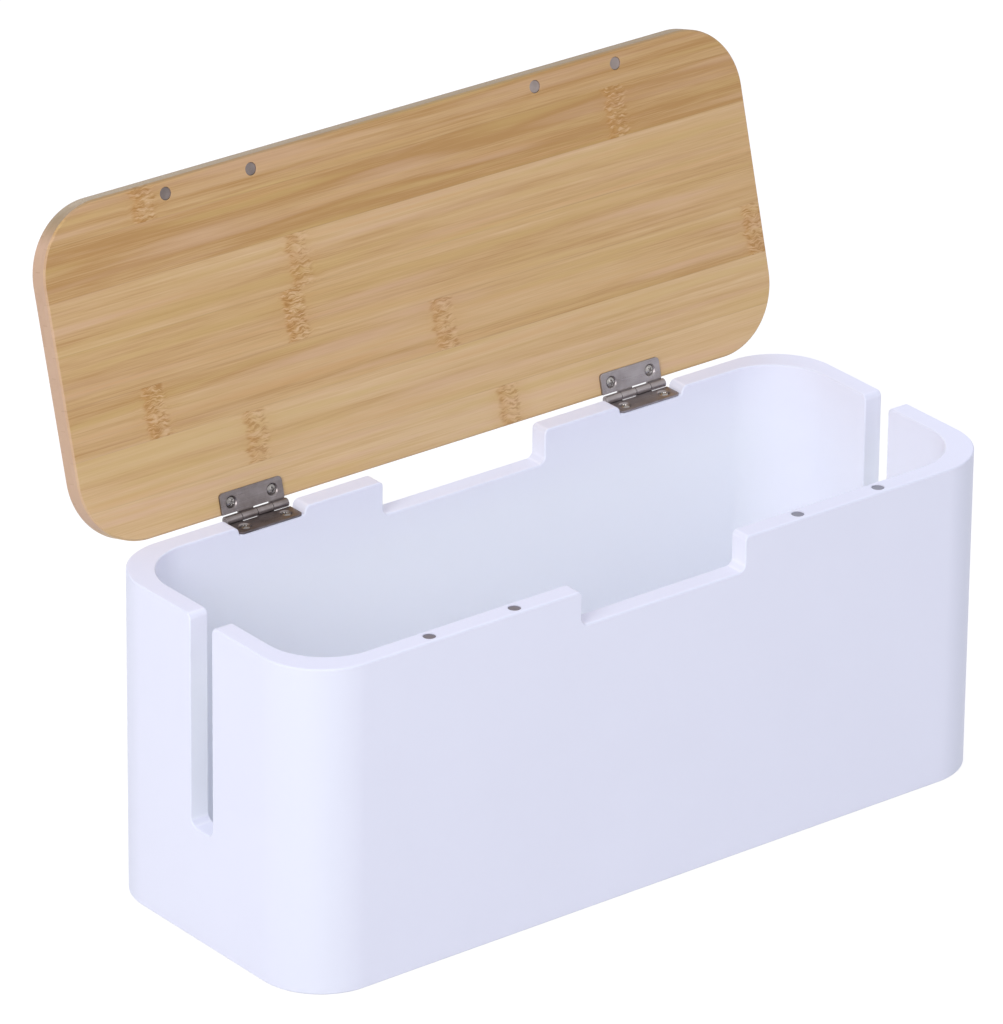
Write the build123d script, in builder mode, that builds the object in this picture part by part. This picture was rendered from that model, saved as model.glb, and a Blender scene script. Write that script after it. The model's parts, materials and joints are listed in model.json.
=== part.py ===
from build123d import *

import os
from math import cos, radians, sin

# Cable management box: a white painted case with rounded corners, and a bamboo lid that stands
# open on two rolled butt hinges. Sizes are in millimetres.
# The origin is on the table under the middle of the box. X runs along the box, Y runs to the
# hinge side and Z is up.

# Case
box_length = 400.0
box_width = 155.0
box_height = 160.0
wall = 10.0
corner_radius = 32.0
inner_corner_radius = 30.0
post_land = 2.0
edge_break = 0.5
floor_thickness = 6.0
floor_rebate = 5.0
glue_gap = 0.2

# Tongues of the boards in the corner posts
tongue_thickness = 4.0
tongue_length = 5.0
tongue_inset = 12.0

# Shallow notch for cables in the long walls
notch_width = 94.0
notch_depth = 17.0
notch_top_round = 2.5
notch_bottom_round = 3.5

# Deep slot for cables in the end walls
slot_width = 16.0
slot_depth = 104.0
slot_top_round = 3.0
slot_bottom_round = 4.0

# Lid
lid_thickness = 10.0
lid_overhang = 1.5
lid_end_overhang = 0.3
lid_rear_overhang = 0.3
lid_edge_break = 0.8
open_angle = 105.0

# Hinges
hinge_inset = 90.0
leaf_length = 35.0
leaf_reach = 12.5
leaf_thickness = 1.0
leaf_corner_round = 2.0
knuckle_radius = 2.1
knuckle_count = 4
knuckle_side_gap = 0.25
barrel_gap = 0.4
seam_gap = 0.2
pin_clearance = 0.05
recess_side = 1.0
recess_top_round = 3.2
recess_bottom_round = 0.9

# Wood screws, with raised heads in wide countersinks
screw_spacing = 23.0
screw_reach = 7.3
countersink_radius = 3.1
screw_head_radius = 2.5
screw_head_rise = 0.3
screw_crown_radius = 1.5
screw_shank_radius = 1.5
screw_length = 8.0
screw_clearance = 0.05
cross_length = 2.8
cross_width = 0.6
cross_depth = 1.0

# Disc magnets of the catch
magnet_radius = 3.0
magnet_thickness = 3.0
magnet_sink = 0.3
magnet_clearance = 0.05
magnet_inset = 71.0
magnet_pair_spacing = 47.5

# Worked out from the sizes above
half_length = box_length / 2
half_width = box_width / 2
# A post runs straight for post_land past its inner round before it meets a board
post_reach = wall + inner_corner_radius + post_land
long_board = box_length - 2 * post_reach
short_board = box_width - 2 * post_reach
tongue_bottom = floor_thickness + tongue_inset
tongue_top = box_height - notch_depth - tongue_inset
tongue_height = tongue_top - tongue_bottom
magnet_row = half_width - wall / 2
magnet_outer_x = half_length - magnet_inset
magnet_inner_x = magnet_outer_x - magnet_pair_spacing
magnet_places = (-magnet_outer_x, -magnet_inner_x, magnet_inner_x, magnet_outer_x)

hinge_y = half_width - wall + leaf_reach
hinge_z = box_height - knuckle_radius
recess_depth = 2 * knuckle_radius
knuckle_bore = knuckle_radius - leaf_thickness
knuckle_pitch = leaf_length / knuckle_count
hinge_places = {"left": hinge_inset - half_length, "right": half_length - hinge_inset}
screw_places = (-screw_spacing / 2, screw_spacing / 2)

lid_length = box_length + 2 * lid_end_overhang
lid_corner_radius = corner_radius + lid_overhang
lid_rear = hinge_y - half_width - lid_rear_overhang
lid_front = hinge_y + half_width + lid_overhang

# Outside faces of the four walls: x runs along the wall, y runs up and z points outwards
front_face = Plane(origin=(0, -half_width, 0), x_dir=(1, 0, 0), z_dir=(0, -1, 0))
rear_face = Plane(origin=(0, half_width, 0), x_dir=(-1, 0, 0), z_dir=(0, 1, 0))
left_face = Plane(origin=(-half_length, 0, 0), x_dir=(0, -1, 0), z_dir=(-1, 0, 0))
right_face = Plane(origin=(half_length, 0, 0), x_dir=(0, 1, 0), z_dir=(1, 0, 0))

# Swing of the open lid: x runs along the pins, y to the free edge and z away from the wood
swing = radians(open_angle)
lid_seat = Plane(origin=(0, hinge_y, hinge_z), x_dir=(1, 0, 0), z_dir=(0, -sin(swing), -cos(swing)))
lid_underside = lid_seat.offset(-knuckle_radius)

os.makedirs("parts", exist_ok=True)


def corner_points(outline, middle, width, height):
    """Vertices of a wall outline at both sides of a cut-out, at one height."""
    return outline.vertices().filter_by(
        lambda point: abs(abs(point.X - middle) - width / 2) < 0.01 and abs(point.Y - height) < 0.01
    )


def wall_board(face, length, cutouts):
    """Flat board between two corner posts, with tongues, floor rebate and cut-outs in its rim.

    Each cut-out is (middle, width, depth, top_round, bottom_round).
    """
    with BuildPart() as board:
        with BuildSketch(face) as outline:
            Rectangle(length, box_height, align=(Align.CENTER, Align.MIN))
            for middle, width, depth, top_round, bottom_round in cutouts:
                with Locations((middle, box_height)):
                    Rectangle(width, depth, align=(Align.CENTER, Align.MAX), mode=Mode.SUBTRACT)
                fillet(corner_points(outline, middle, width, box_height), top_round)
                fillet(corner_points(outline, middle, width, box_height - depth), bottom_round)
        extrude(amount=-wall)

        with BuildSketch(face.offset(-wall)):
            Rectangle(length, floor_thickness, align=(Align.CENTER, Align.MIN))
        extrude(amount=floor_rebate, mode=Mode.SUBTRACT)

        def is_broken_edge(edge):
            middle = face.to_local_coords(edge.center())
            on_end = abs(abs(middle.X) - length / 2) < 0.01
            on_base = middle.Y < floor_thickness + 0.01
            on_faces = abs(middle.Z) < 0.01 or abs(middle.Z + wall) < 0.01
            outer_base = abs(middle.Y) < 0.01 and abs(middle.Z) < 0.01
            return on_faces and not on_end and (outer_base or not on_base)

        chamfer(board.edges().filter_by(is_broken_edge), edge_break)

        with BuildSketch(face.offset(-(wall - tongue_thickness) / 2)):
            tongue_x = (length + tongue_length) / 2
            with Locations((-tongue_x, tongue_bottom), (tongue_x, tongue_bottom)):
                Rectangle(tongue_length, tongue_height, align=(Align.CENTER, Align.MIN))
        extrude(amount=-tongue_thickness)
    return board.part


# Walls

notch = (0, notch_width, notch_depth, notch_top_round, notch_bottom_round)
slot = (0, slot_width, slot_depth, slot_top_round, slot_bottom_round)
recess_width = leaf_length + 2 * recess_side
recesses = [
    (place, recess_width, recess_depth, recess_top_round, recess_bottom_round)
    for place in hinge_places.values()
]
screw_y = hinge_y - screw_reach
screw_hole = screw_shank_radius + screw_clearance
screw_mouth = countersink_radius - leaf_thickness
magnet_bore = magnet_radius + magnet_clearance
magnet_bore_depth = magnet_thickness + magnet_sink

with BuildPart() as front_wall:
    add(wall_board(front_face, long_board, [notch]))
    with Locations(*[(place, -magnet_row, box_height) for place in magnet_places]):
        Hole(magnet_bore, depth=magnet_bore_depth)
front_wall.part.label = "front_wall"
export_step(front_wall.part, "parts/front_wall.step")

with BuildPart() as rear_wall:
    add(wall_board(rear_face, long_board, [notch] + recesses))
    for hinge_x in hinge_places.values():
        with Locations(*[(hinge_x + place, screw_y, box_height - recess_depth) for place in screw_places]):
            CounterSinkHole(
                screw_hole, screw_mouth, depth=screw_length - leaf_thickness, counter_sink_angle=90
            )
rear_wall.part.label = "rear_wall"
export_step(rear_wall.part, "parts/rear_wall.step")

with BuildPart() as left_end_wall:
    add(wall_board(left_face, short_board, [slot]))
left_end_wall.part.label = "left_end_wall"
export_step(left_end_wall.part, "parts/left_end_wall.step")

with BuildPart() as right_end_wall:
    add(wall_board(right_face, short_board, [slot]))
right_end_wall.part.label = "right_end_wall"
export_step(right_end_wall.part, "parts/right_end_wall.step")


# Corner posts

def corner_square(side, radius):
    """Square from the post's inner end to its corner, with the corner rounded."""
    with BuildSketch() as square:
        Rectangle(side, side, align=(Align.MIN, Align.MIN))
        fillet(square.vertices().sort_by_distance((0, 0, 0))[-1], radius)
    return square.sketch


def corner_post(side_x, side_y):
    """Post rounded inside and outside, with a mortise in each end face for the tongues of two boards."""
    first = {(1, 1): (1, 0, 0), (-1, 1): (0, 1, 0), (-1, -1): (-1, 0, 0), (1, -1): (0, -1, 0)}
    start = (side_x * (half_length - post_reach), side_y * (half_width - post_reach), 0)
    base = Plane(origin=start, x_dir=first[(side_x, side_y)], z_dir=(0, 0, 1))
    inner_side = post_reach - wall
    mortise_low = tongue_bottom - glue_gap
    outside = corner_square(post_reach, corner_radius)
    inside = corner_square(inner_side, inner_corner_radius)
    rebate = corner_square(inner_side + floor_rebate, inner_corner_radius + floor_rebate)

    def is_off_joints(edge):
        middle = base.to_local_coords(edge.center())
        return min(middle.X, middle.Y) > 0.01

    with BuildPart() as post:
        with BuildSketch(base):
            add(outside)
        extrude(amount=box_height)
        levels = post.edges().filter_by(is_off_joints).group_by(Axis.Z)
        chamfer(levels[0] + levels[-1], edge_break)

        with BuildSketch(base):
            add(inside)
        extrude(amount=box_height, mode=Mode.SUBTRACT)
        rim_edges = post.edges(Select.LAST).filter_by(is_off_joints).group_by(Axis.Z)[-1]
        chamfer(rim_edges, edge_break)

        with BuildSketch(base):
            add(rebate)
        extrude(amount=floor_thickness, mode=Mode.SUBTRACT)

        with BuildSketch(base.offset(mortise_low)):
            mortise_width = tongue_length + glue_gap
            with Locations((post_reach - wall / 2, 0)):
                Rectangle(tongue_thickness, mortise_width, align=(Align.CENTER, Align.MIN))
            with Locations((0, post_reach - wall / 2)):
                Rectangle(mortise_width, tongue_thickness, align=(Align.MIN, Align.CENTER))
        extrude(amount=tongue_height + 2 * glue_gap, mode=Mode.SUBTRACT)
    return post.part


for end_name, side_y in (("front", -1), ("rear", 1)):
    for side_name, side_x in (("left", -1), ("right", 1)):
        with BuildPart() as post:
            add(corner_post(side_x, side_y))
        post.part.label = f"{end_name}_{side_name}_post"
        export_step(post.part, f"parts/{end_name}_{side_name}_post.step")


# Floor

with BuildPart() as floor_panel:
    floor_reach = floor_rebate - glue_gap - wall
    with BuildSketch(Plane.XY):
        RectangleRounded(
            box_length + 2 * floor_reach,
            box_width + 2 * floor_reach,
            inner_corner_radius + floor_rebate - glue_gap,
        )
    extrude(amount=floor_thickness)
floor_panel.part.label = "floor_panel"
export_step(floor_panel.part, "parts/floor_panel.step")


# Lid

with BuildPart(lid_underside) as lid_panel:
    with BuildSketch(lid_underside):
        with Locations((0, (lid_rear + lid_front) / 2)):
            RectangleRounded(lid_length, lid_front - lid_rear, lid_corner_radius)
    extrude(amount=-lid_thickness)
    chamfer(lid_panel.faces().sort_by(SortBy.AREA)[-2:].edges(), lid_edge_break)
    with Locations(*[(place, hinge_y + magnet_row) for place in magnet_places]):
        Hole(magnet_bore, depth=magnet_bore_depth)
    for hinge_x in hinge_places.values():
        with Locations(*[(hinge_x + place, screw_reach) for place in screw_places]):
            CounterSinkHole(
                screw_hole, screw_mouth, depth=screw_length - leaf_thickness, counter_sink_angle=90
            )
lid_panel.part.label = "lid_panel"
export_step(lid_panel.part, "parts/lid_panel.step")


# Hinges

def across_pin(seat, along):
    """Plane across the pin of a leaf's seat: x runs to the free edge and y away from the wood."""
    start = seat.from_local_coords(Vector(along, 0, 0))
    return Plane(origin=start, x_dir=seat.y_dir, z_dir=seat.x_dir)


def hinge_leaf(seat):
    """Sheet leaf whose edge is rolled round the pin into every second knuckle."""
    knuckle_length = knuckle_pitch - knuckle_side_gap
    knuckle_middles = [
        (number + 0.5) * knuckle_pitch - leaf_length / 2 for number in range(1, knuckle_count, 2)
    ]
    plate_start = knuckle_radius + barrel_gap
    with BuildPart(seat.offset(leaf_thickness - knuckle_radius)) as leaf:
        with BuildSketch(seat.offset(-knuckle_radius)) as plate:
            with Locations((0, plate_start)):
                Rectangle(leaf_length, leaf_reach - plate_start, align=(Align.CENTER, Align.MIN))
            fillet(plate.vertices().group_by(Axis.Y)[-1], leaf_corner_round)
            with Locations(*[(middle, 0) for middle in knuckle_middles]):
                Rectangle(knuckle_length, leaf_reach / 2, align=(Align.CENTER, Align.MIN))
        extrude(amount=leaf_thickness)
        with Locations(*[(place, screw_reach) for place in screw_places]):
            CounterSinkHole(
                screw_hole, countersink_radius, depth=leaf_thickness, counter_sink_angle=90
            )
        for middle in knuckle_middles:
            with BuildSketch(across_pin(seat, middle - knuckle_length / 2)):
                Circle(knuckle_radius)
                Circle(knuckle_bore, mode=Mode.SUBTRACT)
                with Locations((knuckle_radius, -knuckle_bore + seam_gap / 2)):
                    Rectangle(
                        2 * knuckle_radius, seam_gap, align=(Align.CENTER, Align.CENTER), mode=Mode.SUBTRACT
                    )
            extrude(amount=knuckle_length)
    return leaf.part


def wood_screw(top):
    """Raised countersunk cross-head screw, seated in a countersink in the plane `top`."""
    brim_depth = countersink_radius - screw_head_radius - 2 * screw_clearance
    neck_depth = brim_depth + screw_head_radius - screw_shank_radius
    with BuildPart() as screw:
        with BuildSketch(Plane(origin=top.origin, x_dir=top.x_dir, z_dir=-top.y_dir)):
            with BuildLine():
                Polyline(
                    (0, screw_head_rise),
                    (screw_crown_radius, screw_head_rise),
                    (screw_head_radius, -brim_depth),
                    (screw_shank_radius, -neck_depth),
                    (screw_shank_radius, -screw_length),
                    (0, -screw_length),
                    close=True,
                )
            make_face()
        revolve(axis=Axis(top.origin, top.z_dir))
        with BuildSketch(top.offset(screw_head_rise)):
            Rectangle(cross_length, cross_width)
            Rectangle(cross_width, cross_length)
        extrude(amount=-cross_depth, mode=Mode.SUBTRACT)
    return screw.part


for side, hinge_x in hinge_places.items():
    pin_middle = (hinge_x, hinge_y, hinge_z)
    seats = {
        "box": Plane(origin=pin_middle, x_dir=(-1, 0, 0), z_dir=(0, 0, 1)),
        "lid": Plane(origin=pin_middle, x_dir=lid_seat.x_dir, z_dir=lid_seat.z_dir),
    }
    for owner, seat in seats.items():
        with BuildPart() as leaf:
            add(hinge_leaf(seat))
        leaf.part.label = f"{side}_hinge_{owner}_leaf"
        export_step(leaf.part, f"parts/{side}_hinge_{owner}_leaf.step")

        head_plane = seat.offset(leaf_thickness - knuckle_radius)
        for number, place in enumerate(screw_places, start=1):
            head_middle = head_plane.from_local_coords(Vector(place, screw_reach, 0))
            with BuildPart() as screw:
                add(wood_screw(Plane(origin=head_middle, x_dir=seat.x_dir, z_dir=seat.z_dir)))
            screw.part.label = f"{side}_hinge_{owner}_screw_{number}"
            export_step(screw.part, f"parts/{side}_hinge_{owner}_screw_{number}.step")

    with BuildPart() as pin:
        with BuildSketch(across_pin(seats["lid"], -leaf_length / 2)):
            Circle(knuckle_bore - pin_clearance)
        extrude(amount=leaf_length)
    pin.part.label = f"{side}_hinge_pin"
    export_step(pin.part, f"parts/{side}_hinge_pin.step")


# Magnets

def disc_magnet(top):
    """Disc magnet with its face on the plane `top`."""
    with BuildPart() as disc:
        with BuildSketch(top):
            Circle(magnet_radius)
        extrude(amount=-magnet_thickness)
    return disc.part


rim_plane = Plane(origin=(0, -magnet_row, box_height - magnet_sink), z_dir=(0, 0, 1))
lid_plane = Plane(
    origin=lid_underside.from_local_coords(Vector(0, hinge_y + magnet_row, -magnet_sink)),
    x_dir=lid_underside.x_dir,
    z_dir=lid_underside.z_dir,
)
for owner, row_plane in (("rim", rim_plane), ("lid", lid_plane)):
    for number, place in enumerate(magnet_places, start=1):
        disc_middle = row_plane.from_local_coords(Vector(place, 0, 0))
        with BuildPart() as magnet:
            add(disc_magnet(Plane(origin=disc_middle, x_dir=row_plane.x_dir, z_dir=row_plane.z_dir)))
        magnet.part.label = f"{owner}_magnet_{number}"
        export_step(magnet.part, f"parts/{owner}_magnet_{number}.step")
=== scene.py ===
import json
import math
import random

import bmesh
import bpy
from mathutils import Euler, Matrix, Vector


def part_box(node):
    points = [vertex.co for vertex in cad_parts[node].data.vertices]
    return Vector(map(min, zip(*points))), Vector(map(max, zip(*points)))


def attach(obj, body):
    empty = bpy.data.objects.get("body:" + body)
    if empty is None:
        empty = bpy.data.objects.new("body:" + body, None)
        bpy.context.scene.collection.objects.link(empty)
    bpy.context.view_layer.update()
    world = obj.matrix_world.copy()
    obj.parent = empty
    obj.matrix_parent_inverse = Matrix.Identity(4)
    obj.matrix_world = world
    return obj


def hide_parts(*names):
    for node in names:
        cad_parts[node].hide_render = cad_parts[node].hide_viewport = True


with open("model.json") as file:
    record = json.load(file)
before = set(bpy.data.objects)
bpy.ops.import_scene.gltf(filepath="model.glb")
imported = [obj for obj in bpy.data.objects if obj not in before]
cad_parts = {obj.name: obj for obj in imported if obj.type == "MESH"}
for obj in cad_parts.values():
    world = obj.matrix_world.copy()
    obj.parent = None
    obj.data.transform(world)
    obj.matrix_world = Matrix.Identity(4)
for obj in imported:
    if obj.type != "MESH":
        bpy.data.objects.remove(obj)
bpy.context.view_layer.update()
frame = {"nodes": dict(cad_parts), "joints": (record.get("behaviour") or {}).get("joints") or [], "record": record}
nodes = frame["nodes"]
hinge = frame["joints"][0]

mm = 0.001

# The lid's own axes: x along the pins, y to its free edge, z out of its inner face
pinPlace = Vector(hinge["pos_m"])
openAngle = math.radians(hinge["range_deg"][1])
lidTurn = Matrix.Rotation(math.pi - openAngle, 3, "X")
lidUp = lidTurn @ Vector((0, 1, 0))
lidCorners = [lidTurn.transposed() @ (corner.co - pinPlace) for corner in nodes["lid_panel"].data.vertices]


# Shader nodes in one line each

class Shader:
    def __init__(self, name):
        self.material = bpy.data.materials.new(name)
        self.material.use_nodes = True
        self.tree = self.material.node_tree
        self.tree.nodes.clear()
        self.output = self.tree.nodes.new("ShaderNodeOutputMaterial")

    def node(self, kind, sockets=None, **settings):
        made = self.tree.nodes.new("ShaderNode" + kind)
        for setting, value in settings.items():
            setattr(made, setting, value)
        for socket, value in (sockets or {}).items():
            self.feed(made.inputs[socket], value)
        return made

    def feed(self, socket, value):
        if isinstance(value, bpy.types.NodeSocket):
            self.tree.links.new(value, socket)
        else:
            socket.default_value = value

    def math(self, operation, *values, clamp=False):
        made = self.node("Math", dict(enumerate(values)), operation=operation, use_clamp=clamp)
        return made.outputs[0]

    def spread(self, value, low, high, newLow=0.0, newHigh=1.0, kind="LINEAR"):
        sockets = {"Value": value, "From Min": low, "From Max": high, "To Min": newLow, "To Max": newHigh}
        return self.node("MapRange", sockets, interpolation_type=kind).outputs["Result"]

    # Most of a noise lies between 0.3 and 0.7
    def vary(self, noise, low, high):
        return self.spread(noise, 0.3, 0.7, low, high)

    def noise(self, place, scale, detail=2.0, roughness=0.5, distortion=0.0):
        sockets = {
            "Vector": place,
            "Scale": scale,
            "Detail": detail,
            "Roughness": roughness,
            "Distortion": distortion,
        }
        return self.node("TexNoise", sockets).outputs["Fac"]

    def stretch(self, place, x, y, z, shift=(0, 0, 0)):
        sockets = {"Vector": place, "Scale": (x, y, z), "Location": shift}
        return self.node("Mapping", sockets).outputs[0]

    def blend(self, share, first, second):
        made = self.node("Mix", data_type="RGBA")
        self.feed(made.inputs["Factor"], share)
        self.feed(made.inputs["A"], first)
        self.feed(made.inputs["B"], second)
        return made.outputs["Result"]

    def surface(self, normal, **sockets):
        shader = self.node("BsdfPrincipled")
        for key, value in sockets.items():
            self.feed(shader.inputs[key.replace("_", " ")], value)
        self.feed(shader.inputs["Normal"], normal)
        self.tree.links.new(shader.outputs[0], self.output.inputs["Surface"])
        return self.material

    def bump(self, height, depth, strength):
        return self.node("Bump", {"Height": height, "Distance": depth, "Strength": strength}).outputs[0]

    def apart(self, vector):
        return self.node("SeparateXYZ", {0: vector}).outputs

    def join(self, x, y, z):
        return self.node("CombineXYZ", {0: x, 1: y, 2: z}).outputs[0]


# A screen colour of 0 to 255 as the linear colour that a socket takes
def linear(red, green, blue):
    def one(value):
        share = value / 255
        return share / 12.92 if share <= 0.04045 else ((share + 0.055) / 1.055) ** 2.4
    return (one(red), one(green), one(blue), 1)


# White paint

paint = {
    "white": linear(243, 244, 254),
    "shade": linear(242, 243, 253),
    # The lighter inside tone is painted light for the inside of the box
    "inside": linear(247, 250, 255),
    # The darker rim, bend and edge tones are painted shade on the rims, round corners and broken edges
    "rim": linear(238, 240, 252),
    "cornerShade": linear(239, 241, 250),
    "edge": linear(233, 235, 246),
    "roughness": 0.5,
    "duller": 0.05,
    "glossier": 0.04,
    "specular": 0.24,
    "spraySize": 1.3 * mm,
    "sprayDepth": 0.006 * mm,
    "waveSize": 45 * mm,
    "waveDepth": 0.02 * mm,
    "waveStrength": 0.6,
    "waveNoise": (0.35, 0.65),
    # Heights over the table from where a tone starts to where it is full
    "insideHeights": (158 * mm, 125 * mm),
    "floorHeights": (20 * mm, 10 * mm),
    "rimHeights": (20 * mm, 30 * mm),
    # The same for how far a face is turned
    "inwardTurn": (0.0, -6 * mm),
    "rightEndTurn": (-0.85, -0.15),
    "floorTurn": (0.5, 0.9),
    "cornerShadeTurn": (0.05, 0.42),
    "rimTurn": (0.95, 0.99),
    "edgeShadeTurn": (0.2, 0.55),
    "edgeShadeEndTurn": (0.98, 0.8),
    "rightEndShare": 0.3,
}


def makePaint():
    shader = Shader("whitePaint")
    place = shader.node("TexCoord").outputs["Object"]
    cloud = shader.noise(place, 1 / paint["waveSize"], 3)
    grain = shader.noise(place, 1 / paint["spraySize"], 2)
    colour = shader.blend(shader.spread(cloud, *paint["waveNoise"]), paint["white"], paint["shade"])

    # Painted light: a face that looks back at the middle of the box is inside and gets a lighter tone, as does the
    # box's floor, and the right end's inside gets less of it
    x, y, z = shader.apart(place)
    faceX, faceY, faceZ = shader.apart(shader.node("TexCoord").outputs["Normal"])
    outward = shader.math("MULTIPLY_ADD", x, faceX, shader.math("MULTIPLY", y, faceY))
    inward = shader.spread(outward, *paint["inwardTurn"])
    inside = shader.math("MULTIPLY", inward, shader.spread(z, *paint["insideHeights"]))
    rightEnd = shader.spread(faceX, *paint["rightEndTurn"], paint["rightEndShare"], 1.0)
    inside = shader.math("MULTIPLY", inside, rightEnd)
    floorLight = shader.spread(faceZ, *paint["floorTurn"])
    floorLight = shader.math("MULTIPLY", floorLight, shader.spread(z, *paint["floorHeights"]))
    inside = shader.math("MAXIMUM", inside, floorLight)
    colour = shader.blend(inside, colour, paint["inside"])

    # Painted shade: the paint is made a little darker on the round corners, on the rims and on the broken edges,
    # where the lamps light it more strongly
    cornerShadeMask = shader.math("ABSOLUTE", shader.math("MULTIPLY", faceX, faceY))
    cornerShadeMask = shader.math("SUBTRACT", shader.spread(cornerShadeMask, *paint["cornerShadeTurn"]), inward, clamp=True)
    colour = shader.blend(cornerShadeMask, colour, paint["cornerShade"])
    rimPaintedLight = shader.spread(faceZ, *paint["rimTurn"])
    rimPaintedLight = shader.math("MULTIPLY", rimPaintedLight, shader.spread(z, *paint["rimHeights"]))
    colour = shader.blend(rimPaintedLight, colour, paint["rim"])
    upright = shader.math("ABSOLUTE", faceZ)
    edgeShade = shader.spread(upright, *paint["edgeShadeTurn"])
    edgeShade = shader.math("MULTIPLY", edgeShade, shader.spread(upright, *paint["edgeShadeEndTurn"]))
    colour = shader.blend(edgeShade, colour, paint["edge"])

    middle = paint["roughness"]
    roughness = shader.vary(grain, middle - paint["glossier"], middle + paint["duller"])
    wave = shader.bump(cloud, paint["waveDepth"], paint["waveStrength"])
    fine = shader.node("Bump", {"Height": grain, "Distance": paint["sprayDepth"], "Normal": wave})
    return shader.surface(
        fine.outputs[0], Base_Color=colour, Roughness=roughness, Specular_IOR_Level=paint["specular"]
    )


# Bamboo: three plies of flat slats, each slat with its own tone and growth rings

# The sizes are in millimetres, except for the fibres' depth
bamboo = {
    "slatWidth": 24.3,
    "firstJoint": -3.1,
    "plyThickness": 3.34,
    "plyShift": (83.0, 9.7),
    "repeat": 406.0,
    "dark": linear(184, 141, 86),
    "middle": linear(206, 169, 118),
    "light": linear(220, 188, 142),
    "glue": linear(150, 112, 72),
    "endGrain": linear(208, 174, 148),
    "darkEdge": linear(138, 118, 88),
    "ring": linear(195, 145, 82),
    "ringDark": linear(168, 119, 58),
    "ringLight": linear(222, 188, 146),
    "pink": linear(216, 178, 144),
    "straw": linear(206, 174, 110),
    "amber": linear(202, 152, 94),
    # Growth rings, their edges and left sides as shares of half a ring's width
    "ringHalf": 5.5,
    "ringReach": 17.0,
    "ringEdge": (0.75, 1.35),
    "ringLeft": (-1.2, 0.4),
    "wobble": 3.0,
    "wobbleSize": 5.0,
    "leftShare": 0.5,
    "nearShare": 0.2,
    "darkDashes": (0.5, 0.62),
    "darkShare": 0.66,
    "lightDashes": (0.46, 0.36),
    "lightShare": 0.6,
    # Fibres, and how far apart in the grain two slats and two plies lie
    "wave": 1.3,
    "waveSize": 5.0,
    "slatApart": 57.3,
    "plyApart": 9.0,
    "fibreDepth": 0.05 * mm,
    "fibreStrength": 0.5,
    # How much each layer of the grain moves the tone, and where its other tones show
    "toneShares": {"bands": 0.2, "streaks": 0.17, "fibres": 0.16, "clouds": 0.12},
    "pinkTints": (0.54, 0.72),
    "pinkShare": 0.5,
    "strawTints": (0.46, 0.3),
    "strawShare": 0.45,
    "amberClouds": (0.55, 0.72),
    "amberStreaks": (0.42, 0.6),
    "amberShare": 0.4,
    # Ends, free edge and joints
    "endTurn": (0.45, 0.85),
    "endShare": 0.8,
    "darkEdgeTurn": (0.5, 0.9),
    "darkEdgeShare": 0.85,
    "glueLine": (0.004, 0.014),
    "glueFade": 70.0,
    "glueNoise": (0.35, 0.65),
    "glueShare": 0.3,
    "roughness": 0.5,
    "duller": 0.07,
    "glossier": 0.05,
    "specular": 0.3,
}

# Tone of each slat from the hinge side up, 0 dark and 1 light, and its rings along the lid
slats = [
    {"tone": 0.85, "rings": {40: 0.8}},
    {"tone": 0.75, "rings": {-101: 0.8}},
    {"tone": 0.49, "rings": {-153: 1.0, 10.5: 0.85, 195: 0.9}},
    {"tone": 0.45, "rings": {-70: 1.2}},
    {"tone": 0.58, "rings": {-63: 0.8}},
    {"tone": 0.12, "rings": {125.5: 0.9}},
    {"tone": 0.26, "rings": {-142: 1.0}},
]

# Length and width of the marks in each layer of the grain
grainLayers = {
    "bands": {"long": 420, "wide": 7.5, "detail": 2},
    "streaks": {"long": 200, "wide": 1.7, "detail": 3, "roughness": 0.6},
    "fibres": {"long": 24, "wide": 0.5, "detail": 2},
    "clouds": {"long": 150, "wide": 7, "detail": 1},
    "tints": {"long": 130, "wide": 5.5, "detail": 1, "shift": (3.7, 1.3, 8.1)},
    "dashes": {"long": 4.6, "wide": 0.85, "detail": 2, "distortion": 0.3},
}

# Height of the wood's inner face in the lid's axes, with a little air before the first ply
woodFace = max(corner.z for corner in lidCorners) + 0.02 * mm


# Where a spot lies along, across and in the lid, and on which ply and slat
def woodPlaces(shader):
    toLid = lidTurn.transposed()
    sockets = {
        "Vector": shader.node("TexCoord").outputs["Object"],
        "Location": -1 / mm * (toLid @ pinPlace),
        "Rotation": toLid.to_euler(),
        "Scale": (1 / mm, 1 / mm, 1 / mm),
    }
    along, across, height = shader.apart(shader.node("Mapping", sockets).outputs[0])
    depth = shader.math("SUBTRACT", woodFace / mm, height)
    ply = shader.math("FLOOR", shader.math("DIVIDE", depth, bamboo["plyThickness"]))
    shiftAlong, shiftAcross = bamboo["plyShift"]
    along = shader.math("MULTIPLY_ADD", ply, shiftAlong, along)
    across = shader.math("MULTIPLY_ADD", ply, shiftAcross, across)
    fromFirst = shader.math("SUBTRACT", across, bamboo["firstJoint"])
    count = shader.math("DIVIDE", fromFirst, bamboo["slatWidth"])
    return {
        "along": along,
        "across": across,
        "depth": depth,
        "ply": ply,
        "slat": shader.math("FLOOR", count),
        "fromJoint": shader.math("FRACT", count),
    }


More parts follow.
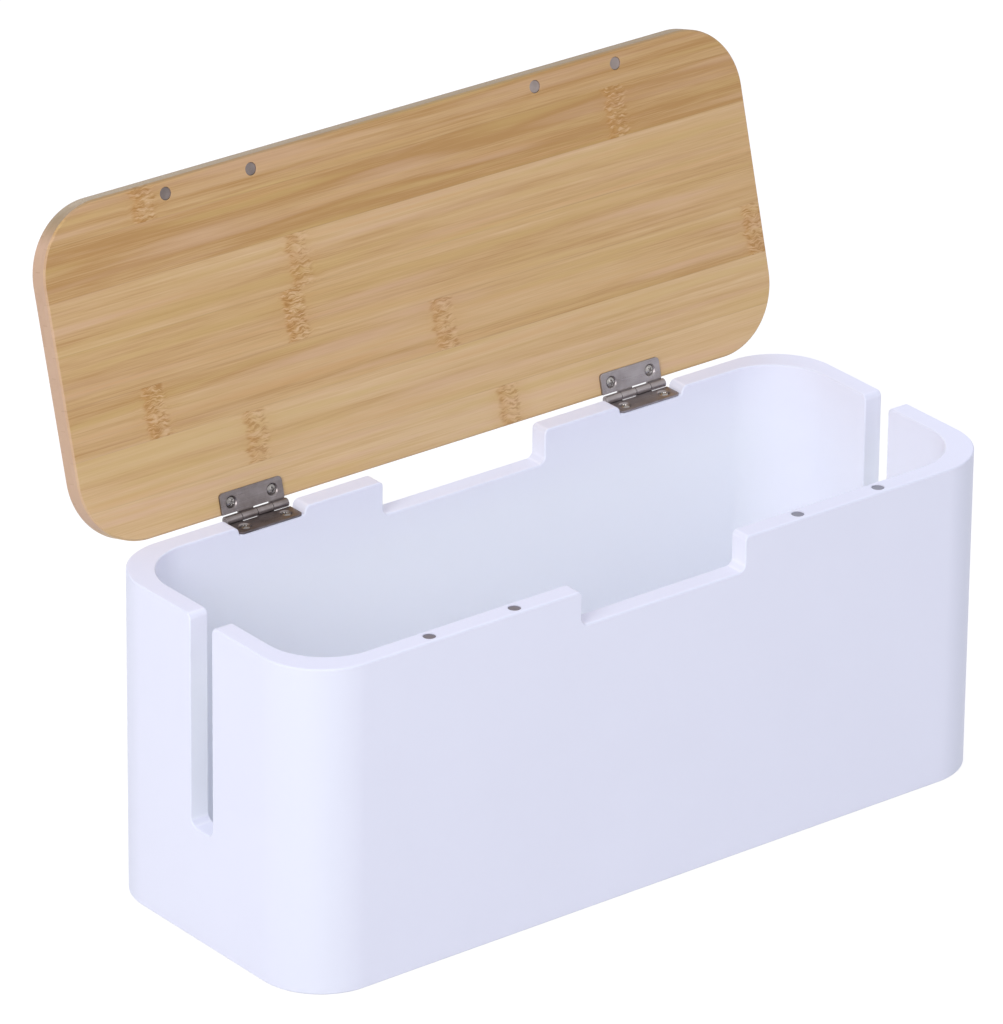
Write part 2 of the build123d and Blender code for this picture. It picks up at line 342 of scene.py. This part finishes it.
# The slat's tone, its rings, how near the next ring is, and the rings' left sides
def growthRings(shader, wood):
    kind = shader.math("FLOORED_MODULO", wood["slat"], len(slats))
    crossways = shader.math("DIVIDE", wood["across"], bamboo["wobbleSize"])
    wobble = shader.noise(shader.join(wood["slat"], crossways, wood["ply"]), 1.0, 3)
    wobble = shader.spread(wobble, 0.25, 0.75, -bamboo["wobble"], bamboo["wobble"])
    half = bamboo["ringHalf"]
    edgeStart, edgeEnd = bamboo["ringEdge"]
    leftFull, leftEnd = bamboo["ringLeft"]
    tone = 0.0
    ring = 0.0
    near = 0.0
    side = 0.0
    for number, slat in enumerate(slats):
        mine = shader.math("COMPARE", kind, number, 0.5)
        tone = shader.math("MULTIPLY_ADD", mine, slat["tone"], tone)
        for where, strength in slat["rings"].items():
            gap = shader.math("SUBTRACT", shader.math("ADD", wood["along"], wobble), where)
            gap = shader.math("WRAP", gap, bamboo["repeat"] / 2, -bamboo["repeat"] / 2)
            away = shader.math("ABSOLUTE", gap)
            core = shader.spread(away, half * edgeStart, half * edgeEnd, strength, 0.0, "SMOOTHSTEP")
            ring = shader.math("MULTIPLY_ADD", core, mine, ring)
            fade = shader.spread(away, 0.0, bamboo["ringReach"], 1.0, 0.0, "SMOOTHSTEP")
            near = shader.math("MULTIPLY_ADD", fade, mine, near)
            left = shader.spread(gap, half * leftFull, half * leftEnd, 1.0, 0.0, "SMOOTHSTEP")
            side = shader.math("MULTIPLY_ADD", left, shader.math("MULTIPLY", core, mine), side)
    return tone, ring, near, side


# Fibres run along the lid and wave where they pass a ring
def fibrePlaces(shader, wood, near):
    waveAlong = shader.math("DIVIDE", wood["along"], bamboo["waveSize"])
    waveAcross = shader.math("DIVIDE", wood["across"], bamboo["waveSize"])
    wave = shader.noise(shader.join(waveAlong, waveAcross, wood["slat"]), 1.0, 2)
    wave = shader.spread(wave, 0.25, 0.75, -bamboo["wave"], bamboo["wave"])
    wave = shader.math("MULTIPLY", wave, near)
    own = shader.math("ADD", wood["slat"], shader.math("MULTIPLY", wood["ply"], bamboo["plyApart"]))
    own = shader.math("MULTIPLY", own, bamboo["slatApart"])
    across = shader.math("ADD", wood["across"], wave)
    return shader.join(wood["along"], across, shader.math("ADD", wood["depth"], own))


def grainLayer(shader, fibres, long, wide, detail, roughness=0.5, distortion=0.0, shift=(0, 0, 0)):
    stretched = shader.stretch(fibres, 1 / long, 1 / wide, 1 / wide, shift)
    return shader.noise(stretched, 1.0, detail, roughness, distortion)


def woodColour(shader, layers, tone):
    level = 0.0
    for name, share in bamboo["toneShares"].items():
        level = shader.math("ADD", level, shader.vary(layers[name], -share, share))
    level = shader.math("ADD", level, tone, clamp=True)
    ramp = shader.node("ValToRGB", {"Fac": level})
    stops = ramp.color_ramp.elements
    stops[0].color = bamboo["dark"]
    stops[1].color = bamboo["light"]
    stops.new(0.5).color = bamboo["middle"]
    pink = shader.spread(layers["tints"], *bamboo["pinkTints"], 0.0, bamboo["pinkShare"])
    colour = shader.blend(pink, ramp.outputs["Color"], bamboo["pink"])
    straw = shader.spread(layers["tints"], *bamboo["strawTints"], 0.0, bamboo["strawShare"])
    colour = shader.blend(straw, colour, bamboo["straw"])
    warm = shader.spread(layers["clouds"], *bamboo["amberClouds"])
    warm = shader.math("MULTIPLY", warm, shader.spread(layers["streaks"], *bamboo["amberStreaks"]))
    return shader.blend(shader.math("MULTIPLY", warm, bamboo["amberShare"]), colour, bamboo["amber"])


# A ring is a band of short dashes, darker and redder at its left
def drawRings(shader, colour, dashes, ring, near, side):
    tint = shader.math("MULTIPLY", side, bamboo["leftShare"])
    tint = shader.math("ADD", tint, shader.math("MULTIPLY", near, bamboo["nearShare"]))
    colour = shader.blend(shader.math("MINIMUM", tint, 1.0), colour, bamboo["ring"])
    darkDash = shader.math("MULTIPLY", shader.spread(dashes, *bamboo["darkDashes"]), ring)
    share = shader.math("MULTIPLY", darkDash, bamboo["darkShare"], clamp=True)
    colour = shader.blend(share, colour, bamboo["ringDark"])
    lightDash = shader.math("MULTIPLY", shader.spread(dashes, *bamboo["lightDashes"]), ring)
    share = shader.math("MULTIPLY", lightDash, bamboo["lightShare"], clamp=True)
    return shader.blend(share, colour, bamboo["ringLight"]), darkDash


# The ends show smooth, paler end grain, and the free edge is darker
def drawEnds(shader, colour):
    facing = shader.node("TexCoord").outputs["Normal"]
    endways = shader.math("ABSOLUTE", shader.apart(facing)[0])
    endways = shader.spread(endways, *bamboo["endTurn"], 0.0, bamboo["endShare"], "SMOOTHSTEP")
    colour = shader.blend(endways, colour, bamboo["endGrain"])
    upward = shader.node("VectorMath", {0: facing, 1: lidUp}, operation="DOT_PRODUCT").outputs["Value"]
    upward = shader.spread(upward, *bamboo["darkEdgeTurn"], 0.0, bamboo["darkEdgeShare"], "SMOOTHSTEP")
    return shader.blend(upward, colour, bamboo["darkEdge"])


# Glue lines between the slats, which fade in and out along the lid
def glueLines(shader, wood):
    toJoint = shader.math("PINGPONG", wood["fromJoint"], 0.5)
    line = shader.spread(toJoint, *bamboo["glueLine"], 1.0, 0.0, "SMOOTHSTEP")
    fadeAlong = shader.math("DIVIDE", wood["along"], bamboo["glueFade"])
    fade = shader.noise(shader.join(fadeAlong, wood["slat"], wood["ply"]), 1.0, 2)
    return shader.math("MULTIPLY", line, shader.spread(fade, *bamboo["glueNoise"], 0.0, bamboo["glueShare"]))


def makeBamboo():
    shader = Shader("bamboo")
    wood = woodPlaces(shader)
    tone, ring, near, side = growthRings(shader, wood)
    fibres = fibrePlaces(shader, wood, near)
    layers = {name: grainLayer(shader, fibres, **marks) for name, marks in grainLayers.items()}
    colour = woodColour(shader, layers, tone)
    colour, darkDash = drawRings(shader, colour, layers["dashes"], ring, near, side)
    colour = drawEnds(shader, colour)
    glueLine = glueLines(shader, wood)
    colour = shader.blend(glueLine, colour, bamboo["glue"])

    # Dashes and glue lines lie a little deeper than the fibres
    height = shader.math("ADD", layers["streaks"], shader.math("MULTIPLY", layers["fibres"], 0.6))
    height = shader.math("SUBTRACT", height, shader.math("MULTIPLY", darkDash, 0.8))
    height = shader.math("SUBTRACT", height, shader.math("MULTIPLY", glueLine, 0.8))
    normal = shader.bump(height, bamboo["fibreDepth"], bamboo["fibreStrength"])
    middle = bamboo["roughness"]
    roughness = shader.vary(layers["streaks"], middle - bamboo["glossier"], middle + bamboo["duller"])
    return shader.surface(
        normal, Base_Color=colour, Roughness=roughness, Specular_IOR_Level=bamboo["specular"]
    )


# Nickel plate of the hinges, screws and magnets

nickel = {
    "hinge": {"dark": linear(108, 98, 96), "light": linear(174, 168, 170), "roughness": 0.34},
    "screw": {"dark": linear(120, 115, 114), "light": linear(176, 172, 170), "roughness": 0.2},
    "magnet": {"dark": linear(99, 90, 88), "light": linear(168, 156, 152), "roughness": 0.4},
    # Painted reflection: the lighter, bluer tone of the magnets on the rim
    "rimMagnet": linear(147, 148, 164),
    "rimTop": 165 * mm,
    "brushLength": 14 * mm,
    "brushWidth": 0.12 * mm,
    "brushDepth": 0.004 * mm,
    "brushStrength": 0.6,
    "brushShare": 0.25,
    "stainSize": 7 * mm,
    "stainShare": 0.35,
    # Painted light: the plate is made lighter towards the box's right, over this reach to each side of the middle
    "farthest": 120 * mm,
    "paintedLightShare": 0.4,
    "duller": 0.09,
    "glossier": 0.07,
}


# Brushed plate: fine lines along the box, with faint stains, and painted light that makes it lighter towards the
# box's right and duller towards its left
def makeMetal(kind, brushed=False, rimPaintedLight=None):
    shader = Shader(kind + "Nickel")
    place = shader.node("TexCoord").outputs["Object"]
    stain = shader.noise(place, 1 / nickel["stainSize"], 3)
    fine = 1 / nickel["brushWidth"]
    long = 1 / nickel["brushLength"] if brushed else fine
    brush = shader.noise(shader.stretch(place, long, fine, fine), 1.0, 2)
    farthest = nickel["farthest"]
    # Painted light: lighter towards the box's right
    paintedLight = shader.spread(shader.apart(place)[0], -farthest, farthest, 0.0, nickel["paintedLightShare"])
    shade = shader.math("ADD", paintedLight, shader.vary(stain, 0.0, nickel["stainShare"]))
    shade = shader.math("ADD", shade, shader.vary(brush, 0.0, nickel["brushShare"]))
    colour = shader.blend(shade, nickel[kind]["dark"], nickel[kind]["light"])
    # Painted reflection: the magnets on the rim get their own lighter, bluer tone
    if rimPaintedLight is not None:
        low = shader.math("LESS_THAN", shader.apart(place)[2], nickel["rimTop"])
        colour = shader.blend(low, colour, rimPaintedLight)
    middle = nickel[kind]["roughness"]
    roughness = shader.vary(brush, middle - nickel["glossier"], middle + nickel["duller"])
    normal = shader.bump(brush, nickel["brushDepth"], nickel["brushStrength"])
    return shader.surface(normal, Base_Color=colour, Roughness=roughness, Metallic=1.0)


materials = {
    "white_paint": makePaint(),
    "bamboo": makeBamboo(),
    "hinge_steel": makeMetal("hinge", brushed=True),
    "screw_steel": makeMetal("screw"),
    "magnet_plate": makeMetal("magnet", rimPaintedLight=nickel["rimMagnet"]),
}
print("materials made")


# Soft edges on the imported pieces

edges = {
    "wall": 0.2 * mm,
    "lid_panel": 0.3 * mm,
    "leaf": 0.12 * mm,
    "pin": 0.12 * mm,
    "screw": 0.12 * mm,
    "magnet": 0.25 * mm,
    "segments": 2,
    "weld": 0.002 * mm,
    "flat": math.radians(0.5),
    "steep": math.radians(25),
    "slope": math.radians(45),
    "slopeSpread": math.radians(22),
    "sharp": math.radians(40),
}


def startGroup(name):
    group = bpy.data.node_groups.new(name, "GeometryNodeTree")
    group.interface.new_socket("Geometry", in_out="INPUT", socket_type="NodeSocketGeometry")
    group.interface.new_socket("Geometry", in_out="OUTPUT", socket_type="NodeSocketGeometry")
    return group, group.nodes.new("NodeGroupInput").outputs[0], group.nodes.new("NodeGroupOutput").inputs[0]


# A modifier group that shades every face smooth
def makeSmoothing():
    group, start, end = startGroup("smoothFaces")
    smooth = group.nodes.new("GeometryNodeSetShadeSmooth")
    group.links.new(start, smooth.inputs[0])
    group.links.new(smooth.outputs[0], end)
    return group


# A modifier group for painted pieces: only sloped edges get rounded, and square joints stay tight
def makeEdgeMarks():
    group, start, end = startGroup("slopedEdges")
    sloped = group.nodes.new("ShaderNodeMath")
    sloped.operation = "COMPARE"
    sloped.inputs[1].default_value = edges["slope"]
    sloped.inputs[2].default_value = edges["slopeSpread"]
    angle = group.nodes.new("GeometryNodeInputMeshEdgeAngle").outputs["Unsigned Angle"]
    group.links.new(angle, sloped.inputs[0])
    store = group.nodes.new("GeometryNodeStoreNamedAttribute")
    store.domain = "EDGE"
    store.inputs["Name"].default_value = "bevel_weight_edge"
    group.links.new(start, store.inputs["Geometry"])
    group.links.new(sloped.outputs[0], store.inputs["Value"])
    group.links.new(store.outputs[0], end)
    return group


# A modifier group that keeps the shading apart at steep edges, so that flat faces look flat
def makeSharpEdges():
    group, start, end = startGroup("sharpEdges")
    steep = group.nodes.new("ShaderNodeMath")
    steep.operation = "GREATER_THAN"
    steep.inputs[1].default_value = edges["sharp"]
    angle = group.nodes.new("GeometryNodeInputMeshEdgeAngle").outputs["Unsigned Angle"]
    group.links.new(angle, steep.inputs[0])
    sharp = group.nodes.new("GeometryNodeSetShadeSmooth")
    sharp.domain = "EDGE"
    sharp.inputs["Shade Smooth"].default_value = False
    group.links.new(start, sharp.inputs["Geometry"])
    group.links.new(steep.outputs[0], sharp.inputs["Selection"])
    group.links.new(sharp.outputs[0], end)
    return group


smoothing = makeSmoothing()
edgeMarks = makeEdgeMarks()
sharpEdges = makeSharpEdges()


def softenEdges(piece, width, painted):
    weld = piece.modifiers.new("weld", "WELD")
    weld.merge_threshold = edges["weld"]
    flat = piece.modifiers.new("flatFaces", "DECIMATE")
    flat.decimate_type = "DISSOLVE"
    flat.angle_limit = edges["flat"]
    smooth = piece.modifiers.new("smooth", "NODES")
    smooth.node_group = smoothing
    if painted:
        marks = piece.modifiers.new("edgeMarks", "NODES")
        marks.node_group = edgeMarks
    bevel = piece.modifiers.new("softEdge", "BEVEL")
    bevel.width = width
    bevel.segments = edges["segments"]
    bevel.limit_method = "WEIGHT" if painted else "ANGLE"
    bevel.angle_limit = edges["steep"]
    if painted:
        sharp = piece.modifiers.new("sharpEdges", "NODES")
        sharp.node_group = sharpEdges
    weighted = piece.modifiers.new("evenShading", "WEIGHTED_NORMAL")
    weighted.keep_sharp = painted


def edgeOf(name):
    for word in ("lid_panel", "leaf", "pin", "screw", "magnet"):
        if word in name:
            return edges[word]
    return edges["wall"]


slotOf = {row["node"]: row["material_slot"] for row in frame["record"]["subparts"]}
for name, piece in nodes.items():
    piece.data.materials.clear()
    piece.data.materials.append(materials[slotOf[name]])
    softenEdges(piece, edgeOf(name), slotOf[name] == "white_paint")
print("packed pieces dressed")


# A finished mesh as an object of the scene
def addPiece(name, mesh, material):
    data = bpy.data.meshes.new(name)
    mesh.to_mesh(data)
    mesh.free()
    data.materials.append(material)
    piece = bpy.data.objects.new(name, data)
    bpy.context.scene.collection.objects.link(piece)
    return piece


# Finer corners for the posts and the lid, whose packed arcs are coarse

corners = {
    # The radii of the arcs about each centre, which lies as far in from both sides as the first number
    "box": {32.0: (32.0, 31.5), 40.0: (30.0, 30.5, 35.0)},
    "lid": {33.5: (33.5, 32.7)},
    "match": 0.02 * mm,
    "sag": 0.15 * mm,
    "cuts": 5,
}


# The arc that a flat place lies on, or just inside of, as its centre and radius
def arcAt(flat, half, arcs, slack):
    for inset, radii in arcs.items():
        centre = half - Vector((inset, inset)) * mm
        out = flat - centre
        for radius in radii:
            short = radius * mm - out.length
            if min(out) > -corners["match"] and -corners["match"] < short < slack:
                return centre, radius * mm
    return None


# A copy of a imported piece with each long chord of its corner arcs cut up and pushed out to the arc
def roundCorners(name, body, turn, middle, half):
    def flatten(place):
        local = turn.transposed() @ (place - middle)
        return Vector((abs(local.x), abs(local.y))), local

    arcs = corners[body]
    mesh = bmesh.new()
    mesh.from_mesh(nodes[name].data)
    bmesh.ops.remove_doubles(mesh, verts=mesh.verts, dist=corners["match"] / 10)
    bmesh.ops.dissolve_limit(
        mesh,
        angle_limit=edges["flat"],
        verts=mesh.verts,
        edges=mesh.edges,
        use_dissolve_boundaries=False,
    )
    chords = []
    for edge in mesh.edges:
        ends = [flatten(corner.co) for corner in edge.verts]
        level = abs(ends[0][1].z - ends[1][1].z) < corners["match"]
        first, second = (arcAt(flat, half, arcs, corners["match"]) for flat, local in ends)
        if level and first is not None and first == second:
            chords.append(edge)
    cut = bmesh.ops.subdivide_edges(mesh, edges=chords, cuts=corners["cuts"])
    for corner in [part for part in cut["geom_inner"] if isinstance(part, bmesh.types.BMVert)]:
        flat, local = flatten(corner.co)
        arc = arcAt(flat, half, arcs, corners["sag"])
        if arc is not None:
            centre, radius = arc
            flat = centre + (flat - centre).normalized() * radius
            moved = Vector((math.copysign(flat.x, local.x), math.copysign(flat.y, local.y), local.z))
            corner.co = middle + turn @ moved
    piece = addPiece(name + "_round", mesh, materials[slotOf[name]])
    softenEdges(piece, edgeOf(name), slotOf[name] == "white_paint")
    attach(piece, body)
    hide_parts(name)


boxHalf = Vector(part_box("rear_right_post")[1][:2])
for name in [name for name in nodes if name.endswith("_post")]:
    roundCorners(name, "box", Matrix.Identity(3), Vector((0, 0, 0)), boxHalf)

lidNear = min(corner.y for corner in lidCorners)
lidFar = max(corner.y for corner in lidCorners)
lidHalf = Vector((max(corner.x for corner in lidCorners), (lidFar - lidNear) / 2))
roundCorners("lid_panel", "lid", lidTurn, pinPlace + lidUp * (lidNear + lidFar) / 2, lidHalf)
print("corners rounded")


# Screws with a crossed driver hole, a thread and a point

screw = {
    "brimDepth": 0.8 * mm,
    "lip": 0.08 * mm,
    "neckDepth": 1.9 * mm,
    "neckShare": 0.94,
    "headRadius": 2.45 * mm,
    "crossReach": 1.45 * mm,
    "crossWidth": 0.52 * mm,
    "crossDepth": 0.95 * mm,
    "crossTaper": 0.45,
    "crossSideSlope": 0.12 * mm,
    "crossEndSlope": 0.5 * mm,
    "shankRadius": 1.48 * mm,
    "rootRadius": 1.0 * mm,
    "pitch": 1.25 * mm,
    "ridgeHalf": 0.32,
    "length": 8.2 * mm,
    "pointLength": 2.4 * mm,
    "pointShare": 0.02,
    "sides": 72,
    "headRings": 26,
    "rowsPerTurn": 8,
}
turnOrder = random.Random(7)


# Height of the head's top: a low dome with the driver's cross sunk in it
def headHeight(x, y):
    distance = math.hypot(x, y)
    dome = -screw["brimDepth"] * (distance / screw["headRadius"]) ** 2
    inArm = 0
    for reach, side in ((abs(x), abs(y)), (abs(y), abs(x))):
        halfWidth = screw["crossWidth"] * (1 - screw["crossTaper"] * reach / screw["crossReach"])
        across = min(1, max(0, (halfWidth - side) / screw["crossSideSlope"] + 0.5))
        ahead = min(1, max(0, (screw["crossReach"] - reach) / screw["crossEndSlope"]))
        inArm = max(inArm, across * ahead)
    return dome - screw["crossDepth"] * inArm


# One closed ring of corners at a height, its radius given for each angle
def addRing(mesh, height, radiusAt):
    ring = []
    for number in range(screw["sides"]):
        angle = 2 * math.pi * number / screw["sides"]
        radius = radiusAt(angle)
        ring.append(mesh.verts.new((radius * math.cos(angle), radius * math.sin(angle), height)))
    return ring


def joinRings(mesh, first, second):
    for number in range(len(first)):
        after = (number + 1) % len(first)
        mesh.faces.new((first[number], second[number], second[after], first[after]))


def threadRadius(angle, depth):
    turn = (depth / screw["pitch"] - angle / (2 * math.pi)) % 1
    ridge = max(0, 1 - abs(turn - 0.5) / screw["ridgeHalf"])
    start = min(1, max(0, (depth - screw["neckDepth"]) / screw["pitch"]))
    toPoint = min(1, max(screw["pointShare"], (screw["length"] - depth) / screw["pointLength"]))
    body = screw["rootRadius"] + (screw["shankRadius"] - screw["rootRadius"]) * ridge * start
    return body * toPoint


def screwMesh():
    mesh = bmesh.new()
    rings = []
    for number in range(1, screw["headRings"] + 1):
        radius = screw["headRadius"] * number / screw["headRings"]
        rings.append(addRing(mesh, 0, lambda angle, radius=radius: radius))
    for ring in rings:
        for corner in ring:
            corner.co.z = headHeight(corner.co.x, corner.co.y)
    middle = mesh.verts.new((0, 0, headHeight(0, 0)))
    for number in range(screw["sides"]):
        mesh.faces.new((middle, rings[0][number], rings[0][(number + 1) % screw["sides"]]))
    rings.append(addRing(mesh, -screw["brimDepth"] - screw["lip"], lambda angle: screw["headRadius"]))
    neckRadius = screw["shankRadius"] * screw["neckShare"]
    rings.append(addRing(mesh, -screw["neckDepth"], lambda angle: neckRadius))
    rows = int((screw["length"] - screw["neckDepth"]) / screw["pitch"] * screw["rowsPerTurn"])
    for row in range(1, rows + 1):
        depth = screw["neckDepth"] + (screw["length"] - screw["neckDepth"]) * row / rows
        rings.append(addRing(mesh, -depth, lambda angle, depth=depth: threadRadius(angle, depth)))
    for first, second in zip(rings, rings[1:]):
        joinRings(mesh, first, second)
    mesh.faces.new(reversed(rings[-1]))
    bmesh.ops.recalc_face_normals(mesh, faces=mesh.faces)
    for face in mesh.faces:
        face.smooth = True
    return mesh


# The lid's screws stand along the lid's own axes, the box's screws stand upright
def makeScrew(name):
    onLid = "_lid_" in name
    turn = lidTurn if onLid else Matrix.Identity(3)
    places = [turn.transposed() @ (corner.co - pinPlace) for corner in nodes[name].data.vertices]
    low = [min(place[axis] for place in places) for axis in range(3)]
    high = [max(place[axis] for place in places) for axis in range(3)]
    top = Vector(((low[0] + high[0]) / 2, (low[1] + high[1]) / 2, high[2]))
    mesh = screwMesh()
    spin = Matrix.Rotation(turnOrder.uniform(0, math.pi / 2), 3, "Z")
    for corner in mesh.verts:
        corner.co = pinPlace + turn @ (top + spin @ corner.co)
    piece = addPiece(name + "_cross", mesh, materials["screw_steel"])
    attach(piece, "lid" if onLid else "box")
    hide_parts(name)


for name in [name for name in nodes if "_screw_" in name]:
    makeScrew(name)
print("screws made")


# Floor, which shows white and keeps the shadow

stage = {
    "reach": 40.0,
    "bounce": (0.6, 0.6, 0.6, 1),
    "seen": (0.95, 0.95, 0.95, 1),
    "glow": 0.75,
    "glowStrength": 1.12,
}


def makeFloor():
    shader = Shader("whiteFloor")
    rays = shader.node("LightPath")
    seen = shader.math("MAXIMUM", rays.outputs["Is Camera Ray"], rays.outputs["Is Glossy Ray"])
    seen = shader.math("MAXIMUM", seen, rays.outputs["Is Transmission Ray"])
    diffuse = shader.node("BsdfDiffuse", {"Color": shader.blend(seen, stage["bounce"], stage["seen"])})
    glow = shader.node("Emission", {"Color": (1, 1, 1, 1), "Strength": stage["glowStrength"]})
    share = shader.math("MULTIPLY", seen, stage["glow"])
    mixed = shader.node("MixShader", {0: share, 1: diffuse.outputs[0], 2: glow.outputs[0]})
    shader.tree.links.new(mixed.outputs[0], shader.output.inputs["Surface"])
    mesh = bpy.data.meshes.new("floor")
    reach = stage["reach"]
    ends = [(-reach, -reach, 0), (reach, -reach, 0), (reach, reach, 0), (-reach, reach, 0)]
    mesh.from_pydata(ends, [], [(0, 1, 2, 3)])
    mesh.materials.append(shader.material)
    floor = bpy.data.objects.new("floor", mesh)
    bpy.context.scene.collection.objects.link(floor)


makeFloor()


# Lamps

lamps = {
    "left": {"azimuth": 297, "elevation": 30, "power": 43.5},
    "right": {"azimuth": 15, "elevation": 30, "power": 7.5},
    "back": {"azimuth": 165, "elevation": 15, "power": 18.0},
}
lampSizes = {"distance": 3.2, "disk": 1.8, "aim": (0, 0.03, 0.14)}


def makeLamp(name, lamp):
    light = bpy.data.lights.new(name + "Lamp", "AREA")
    light.shape = "DISK"
    light.size = lampSizes["disk"]
    light.energy = lamp["power"]
    holder = bpy.data.objects.new(name + "Lamp", light)
    azimuth = math.radians(lamp["azimuth"])
    elevation = math.radians(lamp["elevation"])
    level = math.cos(elevation)
    back = Vector((math.sin(azimuth) * level, -math.cos(azimuth) * level, math.sin(elevation)))
    holder.location = Vector(lampSizes["aim"]) + lampSizes["distance"] * back
    holder.rotation_euler = back.to_track_quat("Z", "Y").to_euler()
    bpy.context.scene.collection.objects.link(holder)


for name, lamp in lamps.items():
    makeLamp(name, lamp)


# A soft room, lighter from above, that shows white

room = {"ambient": 0.56, "overhead": 0.35, "colour": (0.84, 0.858, 1.0, 1)}


def makeRoom():
    world = bpy.data.worlds.new("room")
    bpy.context.scene.world = world
    world.use_nodes = True
    tree = world.node_tree
    tree.nodes.clear()
    rays = tree.nodes.new("ShaderNodeLightPath")
    seen = tree.nodes.new("ShaderNodeMath")
    seen.operation = "MAXIMUM"
    tree.links.new(rays.outputs["Is Camera Ray"], seen.inputs[0])
    tree.links.new(rays.outputs["Is Glossy Ray"], seen.inputs[1])
    soft = tree.nodes.new("ShaderNodeBackground")
    soft.inputs["Color"].default_value = room["colour"]
    height = tree.nodes.new("ShaderNodeSeparateXYZ")
    tree.links.new(tree.nodes.new("ShaderNodeTexCoord").outputs["Generated"], height.inputs[0])
    strength = tree.nodes.new("ShaderNodeMapRange")
    strength.inputs["To Min"].default_value = room["ambient"]
    strength.inputs["To Max"].default_value = room["ambient"] + room["overhead"]
    tree.links.new(height.outputs["Z"], strength.inputs["Value"])
    tree.links.new(strength.outputs["Result"], soft.inputs["Strength"])
    white = tree.nodes.new("ShaderNodeBackground")
    white.inputs["Color"].default_value = (1, 1, 1, 1)
    pick = tree.nodes.new("ShaderNodeMixShader")
    output = tree.nodes.new("ShaderNodeOutputWorld")
    tree.links.new(seen.outputs[0], pick.inputs[0])
    tree.links.new(soft.outputs[0], pick.inputs[1])
    tree.links.new(white.outputs[0], pick.inputs[2])
    tree.links.new(pick.outputs[0], output.inputs["Surface"])


makeRoom()
print("stage lit")


# Camera

shot = {
    "place": (-2.2592261, -2.8063214, 1.8371228),
    "turn": (64.98842, -0.56373, -38.17660),
    "lens": 308.868,
    "sensor": 36.0,
    "farthest": 200,
}


def makeCamera():
    camera = bpy.data.cameras.new("shot")
    camera.sensor_fit = "VERTICAL"
    camera.sensor_height = shot["sensor"]
    camera.sensor_width = shot["sensor"]
    camera.lens = shot["lens"]
    camera.clip_end = shot["farthest"]
    tripod = bpy.data.objects.new("shot", camera)
    tripod.location = shot["place"]
    tripod.rotation_euler = Euler([math.radians(angle) for angle in shot["turn"]])
    bpy.context.scene.collection.objects.link(tripod)
    bpy.context.scene.camera = tripod


makeCamera()
bpy.context.scene.view_settings.view_transform = "Standard"

print("scene ready")
